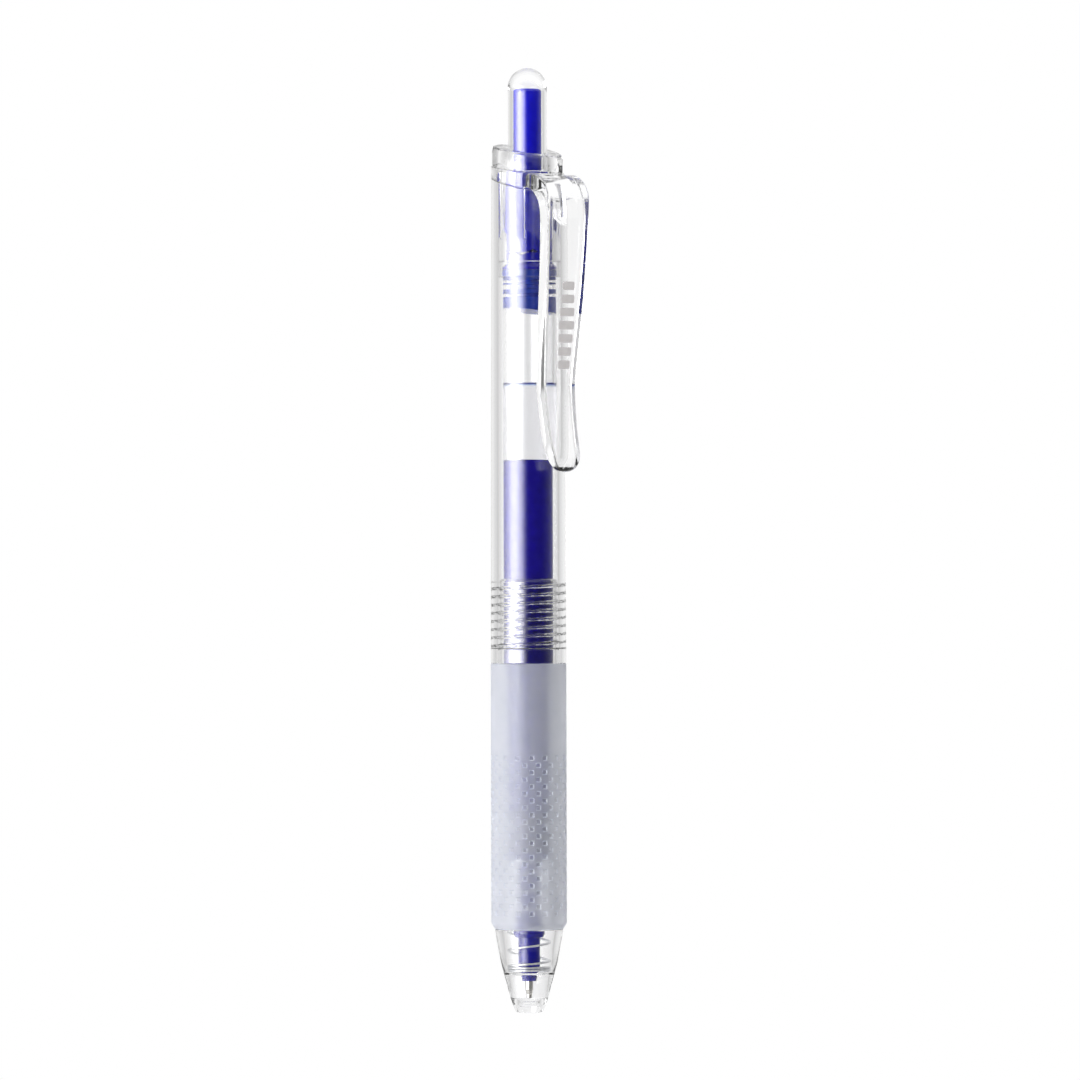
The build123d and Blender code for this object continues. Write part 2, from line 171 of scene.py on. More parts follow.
def turned(name, outline, material, segments=128, sharp=35.0):
    """A closed outline turned about the pen's axis."""
    verts = []
    rings = []
    for radius, z, slope in with_slopes(outline):
        if radius < 1e-6:
            rings.append([len(verts)] * segments)
            verts.append((0, 0, z))
            continue
        rings.append(list(range(len(verts), len(verts) + segments)))
        for k in range(segments):
            a = 2 * math.pi * k / segments
            verts.append((radius * math.cos(a), radius * math.sin(a), z + radius * math.sin(a) * slope))
    faces = []
    for i, ring in enumerate(rings):
        above = rings[(i + 1) % len(rings)]
        for k in range(segments):
            n = (k + 1) % segments
            corners = list(dict.fromkeys([ring[k], ring[n], above[n], above[k]]))
            if len(corners) > 2:
                faces.append(corners)
    return piece(name, verts, faces, material, sharp)


def boolean(obj, other, operation):
    """Joins another closed piece to obj or cuts it away, and deletes the other piece."""
    modifier = obj.modifiers.new("cut", "BOOLEAN")
    modifier.object = other
    modifier.operation = operation
    modifier.solver = "EXACT"
    bpy.context.view_layer.update()
    result = bpy.data.meshes.new_from_object(obj.evaluated_get(bpy.context.evaluated_depsgraph_get()))
    obj.modifiers.clear()
    obj.data = result
    bpy.data.objects.remove(other)


def block(low, high, turn):
    """A box for boolean work, turned about the pen's axis."""
    a = math.radians(turn)
    verts = []
    for x in (low[0], high[0]):
        for y in (low[1], high[1]):
            for z in (low[2], high[2]):
                verts.append((x * math.cos(a) - y * math.sin(a), x * math.sin(a) + y * math.cos(a), z))
    faces = [(0, 1, 3, 2), (4, 6, 7, 5), (0, 4, 5, 1), (2, 3, 7, 6), (0, 2, 6, 4), (1, 5, 7, 3)]
    return piece("cutter", verts, faces, MATERIAL["clear_shell"])


# ------------------------------------------------------------------ materials
def new_material(name, **sockets):
    """A Principled material with the given socket values, its nodes and its shader."""
    material = bpy.data.materials.new(name)
    material.use_nodes = True
    shader = material.node_tree.nodes["Principled BSDF"]
    for socket, value in sockets.items():
        shader.inputs[socket.replace("_", " ")].default_value = value
    return material, material.node_tree, shader


def surface_noise(tree, scale, stretch=(1, 1, 1), detail=3.0):
    """Noise fixed to the object's own space, in metres."""
    place = tree.nodes.new("ShaderNodeTexCoord")
    mapping = tree.nodes.new("ShaderNodeMapping")
    mapping.inputs["Scale"].default_value = stretch
    texture = tree.nodes.new("ShaderNodeTexNoise")
    texture.inputs["Scale"].default_value = scale
    texture.inputs["Detail"].default_value = detail
    tree.links.new(place.outputs["Object"], mapping.inputs["Vector"])
    tree.links.new(mapping.outputs["Vector"], texture.inputs["Vector"])
    return texture.outputs["Fac"]


# Nearly all of a noise texture's values lie between these.
NOISE_LOW = 0.3
NOISE_HIGH = 0.7


def spread(tree, value, low, high):
    """Maps a noise value to a range."""
    node = tree.nodes.new("ShaderNodeMapRange")
    node.inputs["From Min"].default_value = NOISE_LOW
    node.inputs["From Max"].default_value = NOISE_HIGH
    node.inputs["To Min"].default_value = low
    node.inputs["To Max"].default_value = high
    tree.links.new(value, node.inputs["Value"])
    return node.outputs["Result"]


def tint(tree, value, first, second):
    """Mixes two colours by a noise value."""
    ramp = tree.nodes.new("ShaderNodeValToRGB")
    ramp.color_ramp.elements[0].color = (*first, 1)
    ramp.color_ramp.elements[0].position = NOISE_LOW
    ramp.color_ramp.elements[1].color = (*second, 1)
    ramp.color_ramp.elements[1].position = NOISE_HIGH
    tree.links.new(value, ramp.inputs["Fac"])
    return ramp.outputs["Color"]


def bump(tree, value, shader, strength, distance):
    """Fine relief on the shader's surface from a noise value."""
    node = tree.nodes.new("ShaderNodeBump")
    node.inputs["Strength"].default_value = strength
    node.inputs["Distance"].default_value = distance
    tree.links.new(value, node.inputs["Height"])
    tree.links.new(node.outputs["Normal"], shader.inputs["Normal"])


def clear_plastic(name, colour, ior, rough_low, rough_high):
    """Clear moulded plastic: polished, with faint flow lines and handling haze."""
    material, tree, shader = new_material(name, IOR=ior, Transmission_Weight=1.0)
    haze = surface_noise(tree, 260, (1, 1, 0.25))
    tree.links.new(spread(tree, haze, rough_low, rough_high), shader.inputs["Roughness"])
    flow = surface_noise(tree, 120, (1, 1, 0.15), 1.0)
    tree.links.new(tint(tree, flow, [c * 0.985 for c in colour], colour), shader.inputs["Base Color"])
    return material


def coloured_plastic(name, dark, light, roughness):
    """Coloured moulded plastic with a fine grain in gloss and tone."""
    material, tree, shader = new_material(name, IOR=1.5)
    grain = surface_noise(tree, 900)
    tree.links.new(tint(tree, grain, dark, light), shader.inputs["Base Color"])
    tree.links.new(spread(tree, grain, roughness * 0.8, roughness * 1.25), shader.inputs["Roughness"])
    bump(tree, surface_noise(tree, 2500), shader, 0.15, 0.00002)
    return material


def metal(name, colour, roughness, stretch):
    """Drawn or turned metal with fine lines."""
    material, tree, shader = new_material(name, Metallic=1.0)
    lines = surface_noise(tree, 1500, stretch, 4.0)
    tree.links.new(tint(tree, lines, [c * 0.85 for c in colour], colour), shader.inputs["Base Color"])
    tree.links.new(spread(tree, lines, roughness * 0.7, roughness * 1.4), shader.inputs["Roughness"])
    bump(tree, lines, shader, 0.1, 0.00001)
    return material


def grip_rubber(name, rough_low, rough_high, milk_low, milk_high):
    """Frosted translucent elastomer: most light passes blurred, the rest is scattered by the material."""
    material, tree, shader = new_material(name, IOR=1.22, Transmission_Weight=1.0, Specular_IOR_Level=0.25)
    cloud = surface_noise(tree, 350)
    clear = tint(tree, cloud, (0.9, 0.91, 0.94), (0.94, 0.945, 0.97))
    milky = tint(tree, cloud, (0.81, 0.84, 0.92), (0.89, 0.91, 0.985))
    tree.links.new(clear, shader.inputs["Base Color"])
    tree.links.new(spread(tree, cloud, rough_low, rough_high), shader.inputs["Roughness"])
    bump(tree, surface_noise(tree, 5000), shader, 0.15, 0.00002)
    through = tree.nodes.new("ShaderNodeBsdfTranslucent")
    back = tree.nodes.new("ShaderNodeBsdfDiffuse")
    tree.links.new(milky, through.inputs["Color"])
    tree.links.new(milky, back.inputs["Color"])
    body = tree.nodes.new("ShaderNodeMixShader")
    tree.links.new(through.outputs["BSDF"], body.inputs[1])
    tree.links.new(back.outputs["BSDF"], body.inputs[2])
    mix = tree.nodes.new("ShaderNodeMixShader")
    tree.links.new(spread(tree, surface_noise(tree, 800), milk_low, milk_high), mix.inputs["Fac"])
    tree.links.new(shader.outputs["BSDF"], mix.inputs[1])
    tree.links.new(body.outputs["Shader"], mix.inputs[2])
    tree.links.new(mix.outputs["Shader"], tree.nodes["Material Output"].inputs["Surface"])
    return material


def grease_gel(name, colour, stain):
    """Clear grease that bends light as little as the tube round it, stained at its upper rim."""
    material, tree, shader = new_material(name, IOR=1.0, Transmission_Weight=1.0, Roughness=0.0)
    cloud = tint(tree, surface_noise(tree, 500), [c * 0.99 for c in colour], colour)
    place = tree.nodes.new("ShaderNodeTexCoord")
    split = tree.nodes.new("ShaderNodeSeparateXYZ")
    tree.links.new(place.outputs["Object"], split.inputs["Vector"])
    rim = tree.nodes.new("ShaderNodeMapRange")
    rim.inputs["From Min"].default_value = (FOLLOWER_HIGH - 0.5) * MM
    rim.inputs["From Max"].default_value = (FOLLOWER_HIGH - 0.3) * MM
    tree.links.new(split.outputs["Z"], rim.inputs["Value"])
    mix = tree.nodes.new("ShaderNodeMix")
    mix.data_type = "RGBA"
    mix.inputs["B"].default_value = (*stain, 1)
    tree.links.new(rim.outputs["Result"], mix.inputs["Factor"])
    tree.links.new(cloud, mix.inputs["A"])
    tree.links.new(mix.outputs["Result"], shader.inputs["Base Color"])
    return material


MATERIAL = {
    "clear_shell": clear_plastic("clear_shell", (0.994, 0.994, 0.997), 1.5, 0.0, 0.004),
    "tube_plastic": clear_plastic("tube_plastic", (0.992, 0.992, 0.995), 1.49, 0.0, 0.006),
    "grease": grease_gel("grease", (0.955, 0.955, 0.975), (0.42, 0.55, 0.86)),
    "blue_plastic": coloured_plastic("blue_plastic", (0.003, 0.002, 0.76), (0.005, 0.004, 0.88), 0.13),
    "blue_plug": coloured_plastic("blue_plug", (0.008, 0.06, 0.72), (0.012, 0.08, 0.86), 0.22),
    "blue_holder": coloured_plastic("blue_holder", (0.004, 0.003, 0.3), (0.006, 0.005, 0.4), 0.16),
    "ink": coloured_plastic("ink", (0.02, 0.006, 0.56), (0.026, 0.01, 0.7), 0.3),
    "frosted_grip": grip_rubber("grip_rubber", 0.55, 0.62, 0.43, 0.49),
    "grip_dimple": grip_rubber("grip_dimple", 0.36, 0.42, 0.32, 0.38),
    "grip_rim": grip_rubber("grip_rim", 0.55, 0.62, 0.72, 0.8),
    "grip_bore": clear_plastic("grip_bore", (0.97, 0.975, 0.99), 1.4, 0.02, 0.04),
    "tip_metal": metal("tip_metal", (0.78, 0.76, 0.72), 0.22, (1, 1, 12)),
    "ball_metal": metal("ball_metal", (0.55, 0.55, 0.57), 0.08, (1, 1, 1)),
    "spring_steel": metal("spring_steel", (0.82, 0.83, 0.85), 0.18, (1, 1, 4)),
    "print": coloured_plastic("print", (0.74, 0.71, 0.71), (0.8, 0.77, 0.77), 0.5),
}
# The ink wets its tube, so its surface has no gloss of its own.
MATERIAL["ink"].node_tree.nodes["Principled BSDF"].inputs["Specular IOR Level"].default_value = 0.0


def dress(obj, body, slot, *nodes):
    """Attaches a piece to the body it rides on and hides the CAD nodes it stands for. The slot argument is
    not used.
    """
    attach(obj, body)
    if nodes:
        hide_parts(*nodes)


# ------------------------------------------------------------------ screw thread
THREAD_PITCH = 1.25
THREAD_START = 57.0


def threaded_wall(low, high, base, crest, half_base, half_crest, rings_per_turn=16):
    """Rings of a wall with a helical ridge, as (height, radius as a function of the angle)."""
    rings = []
    count = int((high - low) / THREAD_PITCH * rings_per_turn)
    for i in range(count + 1):
        z = low + (high - low) * i / count

        def radius(angle, z=z):
            phase = (z - THREAD_START) / THREAD_PITCH - angle / (2 * math.pi)
            away = abs(phase - round(phase)) * THREAD_PITCH
            share = (half_base - away) / (half_base - half_crest)
            return base + (crest - base) * min(max(share, 0.0), 1.0)

        rings.append((z, radius))
    return rings


def turned_with_thread(name, before, thread, after, material, segments=144):
    """A turned piece whose outline is broken by a threaded wall."""
    rows = [(z, lambda a, r=r: r, slope) for r, z, slope in softened(before, 0.12)]
    rows += [(z, radius, 0.0) for z, radius in thread]
    rows += [(z, lambda a, r=r: r, slope) for r, z, slope in softened(after, 0.12)]
    verts = []
    for z, radius, slope in rows:
        for k in range(segments):
            a = 2 * math.pi * k / segments
            r = radius(a)
            verts.append((r * math.cos(a), r * math.sin(a), z + r * math.sin(a) * slope))
    return piece(name, verts, loft(len(rows), segments, joined=True), material, 30.0)


# ------------------------------------------------------------------ clear shell
def make_front_barrel():
    """Nose, sleeve under the grip and threaded spigot."""
    nose_top = GRIP_LOW - 0.06
    outside = [
        (1.8, 0.0), (2.05, 0.0), (2.2, 0.3), (2.5, 1.05), (2.9, 2.2), (3.37, 4.0), (3.93, 6.0), (4.36, 7.7),
        (4.8, 10.1), (5.06, 11.5), (5.24, nose_top), (4.74, nose_top), (4.74, 55.75), (4.43, 56.0),
    ]
    inside = [
        (4.43, 66.15), (4.2, 66.54), (4.05, 66.54), (4.05, 13.1), (3.62, 9.9), (3.5, 7.7), (3.5, 6.2),
        (3.02, 5.95), (2.65, 2.3), (1.8, 1.3),
    ]
    thread = threaded_wall(56.2, 66.1, 4.43, 4.83, 0.3, 0.1)
    obj = turned_with_thread("front_barrel_clear", outside, thread, inside, MATERIAL["clear_shell"])
    dress(obj, "front", "clear_shell", "front_barrel")


def make_rear_barrel():
    """Tapered tube with the female thread and the register."""
    top = 127.31
    before = [
        (4.97, 55.8), (4.97, BARREL_LOW), (5.8, BARREL_LOW), (5.58, top, BARREL_TILT),
        (4.55, top, BARREL_TILT), (4.55, 67.2),
    ]
    thread = threaded_wall(67.0, 56.1, 4.55, 4.95, 0.44, 0.19)
    obj = turned_with_thread("rear_barrel_clear", before, thread, [(4.7, 56.0)], MATERIAL["clear_shell"])
    dress(obj, "barrel", "clear_shell", "rear_barrel")


CAM_COUNT = 6
CAM_TURN = -23.0
RIB_HALF = 10.6
# The lands' outer faces lie inside the sleeve's wall, so that they join it.
LAND_TOP = 128.9
LAND_ROOT = 3.6
NOTCH_TURNS = (-126, -54)


def guide_land(first, last, inner, low_first, low_last, edge, steps=8):
    """A strip raised from the guide bore between two angles, with a sloping lower end and softened edges."""
    bevel = 0.25
    side = math.degrees(edge / inner)
    span = last - first - 2 * side
    angles = [first] + [first + side + span * k / steps for k in range(steps + 1)] + [last]
    verts = []
    for i, angle in enumerate(angles):
        low = low_first + (low_last - low_first) * (angle - first) / (last - first)
        radius = inner + (edge if i in (0, len(angles) - 1) else 0.0)
        a = math.radians(angle)
        section = [
            (LAND_ROOT, low), (radius + edge, low), (radius, low + bevel), (radius, LAND_TOP),
            (LAND_ROOT, LAND_TOP),
        ]
        verts += [(r * math.cos(a), r * math.sin(a), z) for r, z in section]
    return piece("land", verts, loft(len(angles), len(section)), MATERIAL["clear_shell"])


def make_top_cap():
    """Collar with two latch notches, neck, and guide sleeve with its ribs and the lands between them."""
    outline = [
        (4.05, 112.8), (4.5, 112.8), (4.5, 126.4, 0.15), (4.5, 127.36, BARREL_TILT),
        (4.9, 127.36, BARREL_TILT), (4.9, 129.46, RING_TILT), (5.43, 129.46, RING_TILT), (5.43, 131.6, 0.2),
        (5.3, 132.25, COLLAR_TILT),
        (4.95, 132.4, COLLAR_TILT), (3.1, 132.4, COLLAR_TILT), (3.1, 129.0), (3.42, 129.0), (3.42, 115.2),
        (4.05, 115.2),
    ]
    obj = turned("top_cap_clear", softened(outline, 0.1), MATERIAL["clear_shell"])
    pitch = 360 / CAM_COUNT
    # The lands run a degree into the ribs beside them.
    overlap = 1.0
    for k in range(CAM_COUNT):
        turn = pitch * k + CAM_TURN
        rib = guide_land(turn - RIB_HALF, turn + RIB_HALF, 3.07, 118.9, 118.4, 0.12)
        boolean(obj, rib, "UNION")
        first = turn + RIB_HALF - overlap
        step = guide_land(first, turn + pitch - RIB_HALF + overlap, 3.31, 120.1, 118.3, 0.1)
        boolean(obj, step, "UNION")
    for turn in NOTCH_TURNS:
        notch = block((5.0, -0.7, 128.2), (6.0, 0.7, 129.9), turn)
        boolean(obj, notch, "DIFFERENCE")
    finish_mesh(obj, MATERIAL["clear_shell"])
    dress(obj, "barrel", "clear_shell", "top_cap")


def make_button():
    """Clear sleeve with a round dome."""
    outer = 3.0
    bore = 2.4
    top_wall = 1.35
    outer_start = PEN_HIGH - outer
    inner_start = PEN_HIGH - top_wall - bore
    outline = [(bore, BUTTON_LOW), (outer, BUTTON_LOW)]
    outline += [(outer * math.cos(a), outer_start + outer * math.sin(a)) for a in arc_angles(0, 90, 16)]
    outline += [(bore * math.cos(a), inner_start + bore * math.sin(a)) for a in arc_angles(90, 0, 14)]
    obj = turned("push_button_clear", outline, MATERIAL["clear_shell"])
    dress(obj, "button", "clear_shell", "push_button")


# ------------------------------------------------------------------ grip
GRIP_RADIUS = 5.8
GRIP_BORE = 4.8
DIMPLE_ROWS = 23
DIMPLES_ROUND = 17
DIMPLE_TURN = 0.25
DIMPLE_LOW = 15.33
DIMPLE_STEP = 1.083
DIMPLE_SIZE = 0.68
DIMPLE_DEPTH = 0.2
DIMPLE_WALL = 0.06


def dimple_depth(angle, z):
    """Depth of the nearest square dimple at a place on the grip."""
    row = round((z - DIMPLE_LOW) / DIMPLE_STEP)
    if row < 0 or row >= DIMPLE_ROWS:
        return 0.0
    turn = angle / (2 * math.pi) * DIMPLES_ROUND - DIMPLE_TURN + (0.5 if row % 2 else 0.0)
    across = abs(turn - round(turn)) / DIMPLES_ROUND * 2 * math.pi * GRIP_RADIUS
    up = abs(z - DIMPLE_LOW - row * DIMPLE_STEP)
    edge = 0.5 * DIMPLE_SIZE - max(across, up)
    return DIMPLE_DEPTH * min(max(edge / DIMPLE_WALL + 0.5, 0.0), 1.0)


def make_grip():
    """Soft sleeve with rounded ends and staggered rows of square dimples."""
    segments = 16 * DIMPLES_ROUND
    per_step = 8
    outside = GRIP_RADIUS - 0.01
    first = DIMPLE_LOW - DIMPLE_STEP
    rows = [
        (GRIP_BORE, GRIP_LOW + 0.05), (GRIP_BORE + 0.08, GRIP_LOW), (5.2, GRIP_LOW), (5.27, GRIP_LOW + 0.04),
        (5.5, GRIP_LOW + 0.42), (5.72, GRIP_LOW + 0.8), (outside, GRIP_LOW + 1.0),
        (GRIP_RADIUS, GRIP_LOW + 1.3),
    ]
    dimpled = (DIMPLE_ROWS + 1) * per_step + 1
    rows += [(GRIP_RADIUS, first + DIMPLE_STEP * i / per_step) for i in range(dimpled)]
    rows += [
        (GRIP_RADIUS, GRIP_HIGH - 0.4), (GRIP_RADIUS, GRIP_HIGH - 0.25), (5.77, GRIP_HIGH - 0.07),
        (5.68, GRIP_HIGH), (GRIP_BORE + 0.08, GRIP_HIGH), (GRIP_BORE, GRIP_HIGH - 0.08),
        (GRIP_BORE, GRIP_HIGH - 0.2), (GRIP_BORE, GRIP_LOW + 0.17),
    ]
    verts = []
    for r, z in rows:
        for k in range(segments):
            a = 2 * math.pi * k / segments
            here = r - (dimple_depth(a, z) if r > outside else 0.0)
            verts.append((here * math.cos(a), here * math.sin(a), z))
    faces = loft(len(rows), segments, joined=True)
    obj = piece("grip_frosted", verts, faces, MATERIAL["frosted_grip"], 50.0)
    # The bore lies on the sleeve and is polished. The dimples' floors are smoother than the rest of the
    # outside, and their walls are milkier.
    finishes = ["frosted_grip", "grip_bore", "grip_dimple", "grip_rim"]
    for finish in finishes[1:]:
        obj.data.materials.append(MATERIAL[finish])
    for polygon in obj.data.polygons:
        reaches = [obj.data.vertices[v].co.to_2d().length / MM for v in polygon.vertices]
        sunk = min(reaches) < GRIP_RADIUS - 0.9 * DIMPLE_DEPTH
        if max(reaches) < GRIP_BORE + 0.05:
            polygon.material_index = finishes.index("grip_bore")
        elif sunk and polygon.center.z > (DIMPLE_LOW - 0.6) * MM:
            polygon.material_index = finishes.index("grip_dimple" if max(reaches) < outside else "grip_rim")
    dress(obj, "front", "frosted_grip", "grip")


# ------------------------------------------------------------------ clip
# Stations down the arm: outer face (y, z), inner face (y, z) and half width.
CLIP_STATIONS = [
    (-3.2, 128.81, -3.2, 126.5, 3.9),
    (-4.6, 128.57, -4.6, 126.35, 3.9),
    (-5.5, 128.42, -5.3, 126.2, 3.9),
    (-6.4, 128.4, -5.95, 126.0, 3.9),
    (-7.9, 128.1, -6.7, 125.55, 3.9),
    (-9.3, 127.3, -7.45, 124.85, 3.9),
    (-10.2, 126.3, -7.95, 124.1, 3.9),
    (-10.7, 125.2, -8.25, 123.3, 3.9),
    (-10.85, 123.9, -8.4, 122.4, 3.88),
    (-10.75, 121.5, -8.42, 120.5, 3.84),
    (-10.35, 115.5, -8.1, 115.4, 3.7),
    (-9.85, 109.4, -7.45, 109.4, 3.5),
    (-9.0, 101.7, -6.5, 101.7, 3.15),
    (-8.5, 96.8, -6.05, 96.8, 2.95),
    (-8.72, 93.2, -6.35, 93.2, 2.83),
    (-9.25, 89.4, -6.95, 89.4, 2.75),
    (-9.8, 87.0, -7.45, 87.0, 2.66),
    (-10.3, 85.2, -8.1, 85.2, 2.48),
    (-10.25, 83.9, -8.65, 83.9, 2.05),
    (-9.85, 83.1, -9.05, 83.15, 1.35),
    (-9.45, 82.88, -9.35, 82.9, 0.4),
]


def smooth_stations(stations, steps):
    """A smooth curve through the stations, with a few steps between each two."""
    result = []
    last = len(stations) - 1
    for i in range(last):
        p0, p1, p2, p3 = (Vector(stations[min(max(i + k, 0), last)]) for k in (-1, 0, 1, 2))
        for k in range(steps):
            t = k / steps
            result.append(
                0.5 * (2 * p1 + (p2 - p0) * t + (2 * p0 - 5 * p1 + 4 * p2 - p3) * t * t
                       + (3 * p1 - p0 - 3 * p2 + p3) * t ** 3)
            )
    result.append(Vector(stations[last]))
    return result


def rounded_section(half, thick, front, back, steps=4):
    """Outline of a bar with rounded corners, as (across, depth) with depth 0 at the outer face."""
    front = min(front, 0.45 * thick, 0.9 * half)
    back = min(back, 0.45 * thick, 0.9 * half)
    centres = [
        (half - front, front, front, 270), (half - back, thick - back, back, 0),
        (-half + back, thick - back, back, 90), (-half + front, front, front, 180),
    ]
    section = []
    for x, d, r, first in centres:
        corner = [(x + r * math.cos(a), d + r * math.sin(a)) for a in arc_angles(first, first + 90, steps)]
        start = math.radians(first + 90)
        end = math.radians(first)
        guard = 0.3 * r
        section.append((corner[0][0] - guard * math.cos(start), corner[0][1] - guard * math.sin(start)))
        section += corner
        section.append((corner[-1][0] - guard * math.cos(end), corner[-1][1] - guard * math.sin(end)))
    return section


def clip_point(station, across, share):
    """A point of the arm's cross-section: share 0 on the outer face, 1 on the inner face."""
    return (
        across,
        station[0] + (station[2] - station[0]) * share,
        station[1] + (station[3] - station[1]) * share,
    )


def make_clip():
    """Ring and arm as one clear moulding that bends at the arm's root."""
    path = smooth_stations(CLIP_STATIONS, 5)
    verts = []
    for station in path:
        thick = math.hypot(station[2] - station[0], station[3] - station[1])
        section = rounded_section(station[4], thick, 0.32, 0.25)
        verts += [clip_point(station, across, depth / thick) for across, depth in section]
    obj = piece("clip_clear", verts, loft(len(path), len(section)), MATERIAL["clear_shell"], 45.0)
    gusset = [(-6.4, 126.4), (-6.4, 121.9), (-7.6, 121.2), (-8.6, 120.4), (-9.2, 120.2), (-9.2, 126.4)]
    half = 0.55
    sides = [(x, y, z) for x in (-half, half) for y, z in gusset]
    boolean(obj, piece("gusset", sides, loft(2, len(gusset)), MATERIAL["clear_shell"]), "UNION")
    ring = [
        (4.7, 127.36, BARREL_TILT), (5.6, 127.36, BARREL_TILT), (5.6, 129.4, RING_TILT),
        (4.7, 129.4, RING_TILT),
    ]
    boolean(obj, turned("ring", softened(ring, 0.12), MATERIAL["clear_shell"]), "UNION")
    bore = [(0, 124.0), (4.94, 124.0), (4.94, 131.0), (0, 131.0)]
    boolean(obj, turned("bore", bore, MATERIAL["clear_shell"]), "DIFFERENCE")
    finish_mesh(obj, MATERIAL["clear_shell"], 45.0)
    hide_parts("clip_ring", "clip_arm")
    bend_with_clip(obj)
    return path


def bend_with_clip(obj):
    """Bakes a piece on the clip into world space, where it stays fixed."""
    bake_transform(obj)


MARK_BARS = 7
MARK_LOW = 98.6
MARK_STEP = 2.0
MARK_HEIGHT = 1.3
MARK_CORNER = 0.3
MARK_OFFSET = 0.45
MARK_FOOT = 0.002
MARK_THICKNESS = 0.03


def make_clip_mark(path):
    """A plain printed pattern of short bars on the arm's outer face."""
    verts = []
    faces = []
    for row in range(MARK_BARS):
        middle = MARK_LOW + row * MARK_STEP + MARK_HEIGHT / 2
        half = 1.45 - 0.12 * abs(row - MARK_BARS // 2)
        bar = []
        for a in arc_angles(0, 345, 23):
            corner_x = math.copysign(half - MARK_CORNER, math.cos(a)) if abs(math.cos(a)) > 0.01 else 0.0
            corner_z = math.copysign(MARK_HEIGHT / 2 - MARK_CORNER, math.sin(a))
            x = MARK_OFFSET + corner_x + MARK_CORNER * math.cos(a)
            bar.append((x, middle + corner_z + MARK_CORNER * math.sin(a)))
        first = len(verts)
        for lift in (MARK_FOOT, MARK_FOOT + MARK_THICKNESS):
            verts += [(x, face_y(path, z) - lift, z) for x, z in bar]
        faces += [[first + v for v in face] for face in loft(2, len(bar))]
    obj = piece("clip_mark", verts, faces, MATERIAL["print"])
    bend_with_clip(obj)


def face_y(path, z):
    """y of the arm's outer face at a height below its root."""
    for above, below in zip(path, path[1:]):
        if above[1] >= z >= below[1] and above[0] < -8:
            share = (above[1] - z) / (above[1] - below[1])
            return above[0] + (below[0] - above[0]) * share
    raise ValueError("height is off the arm")


# ------------------------------------------------------------------ refill
# Radius of what touches the tube's bore. It runs a little into the tube, so that no gap shows.
CONTACT = 3.28
PLUG_LOW = 107.6
PLUG_SLOPE = -0.15


def make_refill():
    """Clear tube with the ink and the grease in it."""
    # The grease and the ink wet the bore, so its wall shows only above them.
    tube = [
        (3.24, TUBE_LOW), (3.81, TUBE_LOW), (3.81, TUBE_HIGH), (3.26, TUBE_HIGH), (3.26, FOLLOWER_HIGH),
        (3.1, FOLLOWER_HIGH - 0.2), (2.4, FOLLOWER_HIGH - 0.4), (0, FOLLOWER_HIGH - 0.5), (0, 30.0),
        (3.24, 30.0),
    ]
    obj = turned("refill_tube_clear", softened(tube, 0.06), MATERIAL["tube_plastic"])
    dress(obj, "refill", "tube_plastic", "refill_tube")

    low = 30.6
    dome = [(CONTACT * math.cos(a), INK_HIGH - 0.25 + 0.3 * math.sin(a)) for a in arc_angles(0, 90, 10)]
    outline = [(0, low), (CONTACT, low)] + dome[:-1] + [(0, INK_HIGH + 0.05)]
    obj = turned("ink_column", outline, MATERIAL["ink"])
    dress(obj, "refill", "ink", "ink")

    bowl = [(3.245 * math.cos(a), INK_HIGH - 0.15 + 0.3 * math.sin(a)) for a in arc_angles(90, 0, 10)]
    top = [(3.245, FOLLOWER_HIGH - 0.15), (3.1, FOLLOWER_HIGH - 0.3), (2.4, FOLLOWER_HIGH - 0.5)]
    top += [(0, FOLLOWER_HIGH - 0.6)]
    outline = [(0, INK_HIGH + 0.15)] + bowl[1:] + top
    obj = turned("grease_plug", outline, MATERIAL["grease"])
    dress(obj, "refill", "grease", "grease_follower")


def make_tail_plug():
    """Flanged plug with three grooves and an oblique lower end."""
    high = height("tail_plug", 1)
    outline = [(0, PLUG_LOW), (0, high), (3.9, high), (3.9, TUBE_HIGH + 0.02), (CONTACT, TUBE_HIGH + 0.02)]
    for top, low in ((112.3, 111.95), (111.65, 110.95), (110.25, 109.8)):
        outline += [(CONTACT, top), (2.8, top - 0.05), (2.8, low + 0.05), (CONTACT, low)]
    outline += [(CONTACT, PLUG_LOW)]
    obj = turned("tail_plug_blue", softened(outline, 0.08), MATERIAL["blue_plug"])
    for vert in obj.data.vertices:
        if vert.co.z < (PLUG_LOW + 0.6) * MM:
            vert.co.z += PLUG_SLOPE * vert.co.x
    dress(obj, "refill", "blue_plastic", "tail_plug")


def make_tip_holder():
    """Moulded holder with its grooved plug, guide flange and bored nose."""
    outline = [
        (0.8, 30.5), (CONTACT, 30.5), (CONTACT, 29.4), (3.0, 29.2), (3.0, 28.6), (CONTACT, 28.4),
        (CONTACT, 24.6), (3.8, 24.58), (3.8, 23.8), (2.6, 23.8), (1.85, 22.6), (1.85, 14.9), (2.39, 14.9),
        (2.39, 12.2), (2.1, 11.7), (1.67, 11.7), (1.67, 7.07), (1.25, 6.0), (1.07, 5.07), (0.61, 5.07),
        (0.61, 12.0), (0.8, 12.0),
    ]
    obj = turned("tip_holder_blue", softened(outline, 0.06), MATERIAL["blue_holder"])
    dress(obj, "refill", "blue_plastic", "tip_holder")


